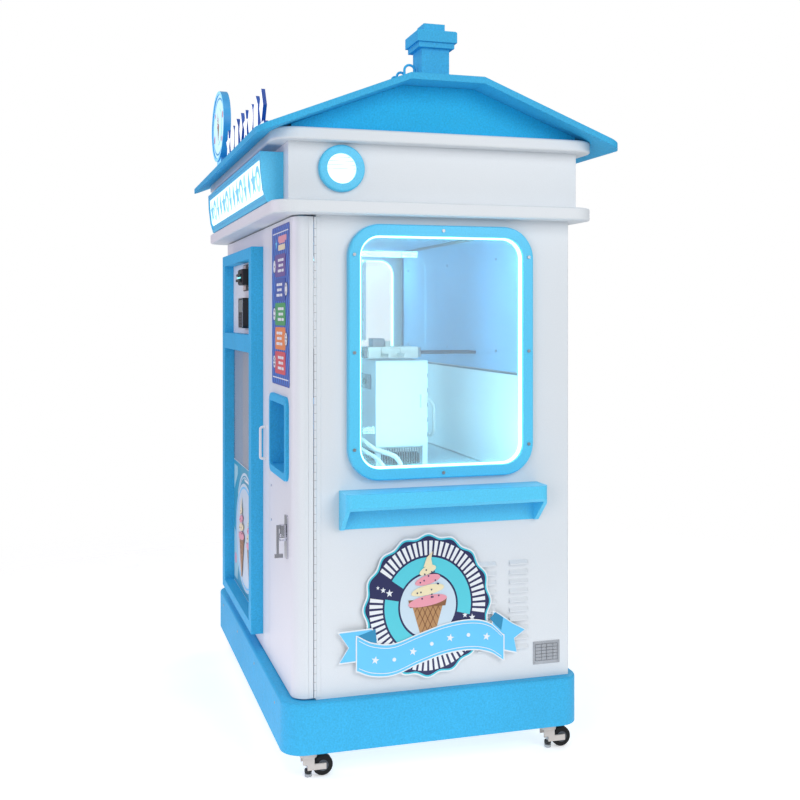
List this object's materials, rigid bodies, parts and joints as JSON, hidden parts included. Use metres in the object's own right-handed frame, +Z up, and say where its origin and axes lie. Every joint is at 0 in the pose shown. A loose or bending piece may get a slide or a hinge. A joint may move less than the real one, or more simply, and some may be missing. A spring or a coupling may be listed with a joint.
{
  "type": "soft serve machine",
  "caption": "Free-standing house-shaped soft serve kiosk with gable roof, lit side windows, front and corner doors, pick-up hatch, shelf and levelling casters.",
  "frame": {"origin": "centre of the roof's outline in plan, on the floor under the levelling pads", "axes": "+Z up, -Y is the customer's side with the main door, +X is the side with the shelf and badge"},
  "size_m": [1.704, 1.17, 2.341],
  "materials": {
    "blue_paint": "fine orange-peel paint",
    "blue_metal": "fine orange-peel paint",
    "white_paint": "satin powder coat",
    "frame_steel": "satin",
    "light_lens": "glowing diffuser",
    "window_glass": "clear",
    "dark_glass": "tinted",
    "light_strip": "glowing strip",
    "chrome": "polished",
    "steel": "brushed",
    "aluminium": "anodised",
    "badge": "printed plate",
    "poster": "printed sheet",
    "strip_print": "printed sheet",
    "black_plastic": "moulded",
    "cream_plastic": "moulded",
    "tyre": "treaded",
    "white_plastic": "moulded",
    "clear_tube": "clear",
    "hose": "smooth",
    "hatch_print": "striped",
    "roof_white": "painted board"
  },
  "bodies": {
    "cabinet": {"plinth": "blue_metal", "inner_frame": "frame_steel", "right_side_panel": "white_paint", "left_side_panel": "white_paint", "rear_panel": "white_paint", "power_inlet": "black_plastic", "ledges": "roof_white", "fascia_walls": "white_paint", "lamp_ring": "blue_paint", "light_lenses": "light_lens", "roof_panels": "blue_paint", "gable_walls": "blue_metal", "chimney": "blue_paint", "roof_ornaments": "roof_white", "sign_box": "blue_paint", "window_frames": "blue_paint", "window_lights": "light_strip", "window_panes": "window_glass", "window_screws": "steel", "side_shelf": "blue_paint", "badge_plate": "badge", "name_plate": "aluminium", "hinge_hardware": "white_paint", "levelling_pads": "steel", "freezer_housing": "white_paint", "freezing_cylinder": "steel", "hopper": "white_plastic", "cup_tube": "clear_tube", "mix_hose": "hose", "gantry_rail": "aluminium", "refrigeration_unit": "black_plastic"},
    "main_door_leaf": {"main_door": "white_paint", "door_frame": "blue_paint", "payment_panel": "white_plastic", "bill_acceptor": "black_plastic", "card_terminal": "black_plastic", "door_glass": "dark_glass", "poster_panel": "poster", "door_handle": "chrome"},
    "corner_door_leaf": {"corner_door": "white_paint", "instruction_strip": "strip_print", "pickup_recess": "blue_paint", "latch_plate": "chrome"},
    "hatch": {"pickup_hatch": "hatch_print"},
    "spindle": {"latch_spindle": "chrome"},
    "lever": {"latch_lever": "chrome"},
    "freezer_door_leaf": {"freezer_door": "white_paint"},
    "beater_rotor": {"beater": "steel"},
    "lid": {"hopper_lid": "white_plastic"},
    "gantry_carriage": {"carriage": "aluminium"},
    "fork": {"gripper_fork": "black_plastic"},
    "fan": {"condenser_fan": "black_plastic"},
    "yoke_front_right_body": {"caster_yoke_front_right": "cream_plastic"},
    "yoke_front_left_body": {"caster_yoke_front_left": "cream_plastic"},
    "yoke_rear_right_body": {"caster_yoke_rear_right": "cream_plastic"},
    "yoke_rear_left_body": {"caster_yoke_rear_left": "cream_plastic"},
    "wheel_front_right_body": {"caster_wheel_front_right": "tyre"},
    "wheel_front_left_body": {"caster_wheel_front_left": "tyre"},
    "wheel_rear_right_body": {"caster_wheel_rear_right": "tyre"},
    "wheel_rear_left_body": {"caster_wheel_rear_left": "tyre"}
  },
  "joints": [
    {"name": "main_door_hinge", "type": "hinge", "parent": "cabinet", "child": "main_door_leaf", "pos_m": [-0.716, -0.441, 0.98], "axis": [0, 0, -1], "range_deg": [0, 100]},
    {"name": "corner_door_hinge", "type": "hinge", "parent": "cabinet", "child": "corner_door_leaf", "pos_m": [0.731, -0.387, 0.98], "axis": [0, 0, 1], "range_deg": [0, 100]},
    {"name": "hatch_slide", "type": "slide", "parent": "corner_door_leaf", "child": "hatch", "axis": [0, 0, 1], "range_m": [0, 0.2]},
    {"name": "latch_turn", "type": "hinge", "parent": "corner_door_leaf", "child": "spindle", "pos_m": [0.623, -0.46, 0.725], "axis": [0, 1, 0], "range_deg": [0, 90]},
    {"name": "lever_swing", "type": "hinge", "parent": "spindle", "child": "lever", "pos_m": [0.623, -0.467, 0.757], "axis": [-1, 0, 0], "range_deg": [0, 60]},
    {"name": "freezer_door_hinge", "type": "hinge", "parent": "cabinet", "child": "freezer_door_leaf", "pos_m": [0.3025, -0.076, 1.11], "axis": [0, 0, -1], "range_deg": [0, 95]},
    {"name": "beater_spin", "type": "hinge", "parent": "cabinet", "child": "beater_rotor", "pos_m": [0.15, 0.019, 1.11], "axis": [1, 0, 0], "continuous": true},
    {"name": "hopper_lid_hinge", "type": "hinge", "parent": "cabinet", "child": "lid", "pos_m": [-0.245, 0.15, 1.2455], "axis": [-1, 0, 0], "range_deg": [0, 90]},
    {"name": "carriage_slide", "type": "slide", "parent": "cabinet", "child": "gantry_carriage", "axis": [0, 1, 0], "range_m": [-0.16, 0.2]},
    {"name": "fork_slide", "type": "slide", "parent": "gantry_carriage", "child": "fork", "axis": [1, 0, 0], "range_m": [0, 0.065]},
    {"name": "fan_spin", "type": "hinge", "parent": "cabinet", "child": "fan", "pos_m": [0.26, 0.42, 0.44], "axis": [0, 1, 0], "continuous": true},
    {"name": "caster_swivel_front_right", "type": "hinge", "parent": "cabinet", "child": "yoke_front_right_body", "pos_m": [0.69, -0.4, 0.08], "axis": [0, 0, 1], "continuous": true},
    {"name": "caster_roll_front_right", "type": "hinge", "parent": "yoke_front_right_body", "child": "wheel_front_right_body", "pos_m": [0.69, -0.356, 0.033], "axis": [1, 0, 0], "continuous": true},
    {"name": "caster_swivel_front_left", "type": "hinge", "parent": "cabinet", "child": "yoke_front_left_body", "pos_m": [-0.69, -0.4, 0.08], "axis": [0, 0, 1], "continuous": true},
    {"name": "caster_roll_front_left", "type": "hinge", "parent": "yoke_front_left_body", "child": "wheel_front_left_body", "pos_m": [-0.69, -0.356, 0.033], "axis": [1, 0, 0], "continuous": true},
    {"name": "caster_swivel_rear_right", "type": "hinge", "parent": "cabinet", "child": "yoke_rear_right_body", "pos_m": [0.69, 0.4, 0.08], "axis": [0, 0, 1], "continuous": true},
    {"name": "caster_roll_rear_right", "type": "hinge", "parent": "yoke_rear_right_body", "child": "wheel_rear_right_body", "pos_m": [0.69, 0.444, 0.033], "axis": [1, 0, 0], "continuous": true},
    {"name": "caster_swivel_rear_left", "type": "hinge", "parent": "cabinet", "child": "yoke_rear_left_body", "pos_m": [-0.69, 0.4, 0.08], "axis": [0, 0, 1], "continuous": true},
    {"name": "caster_roll_rear_left", "type": "hinge", "parent": "yoke_rear_left_body", "child": "wheel_rear_left_body", "pos_m": [-0.69, 0.444, 0.033], "axis": [1, 0, 0], "continuous": true}
  ]
}
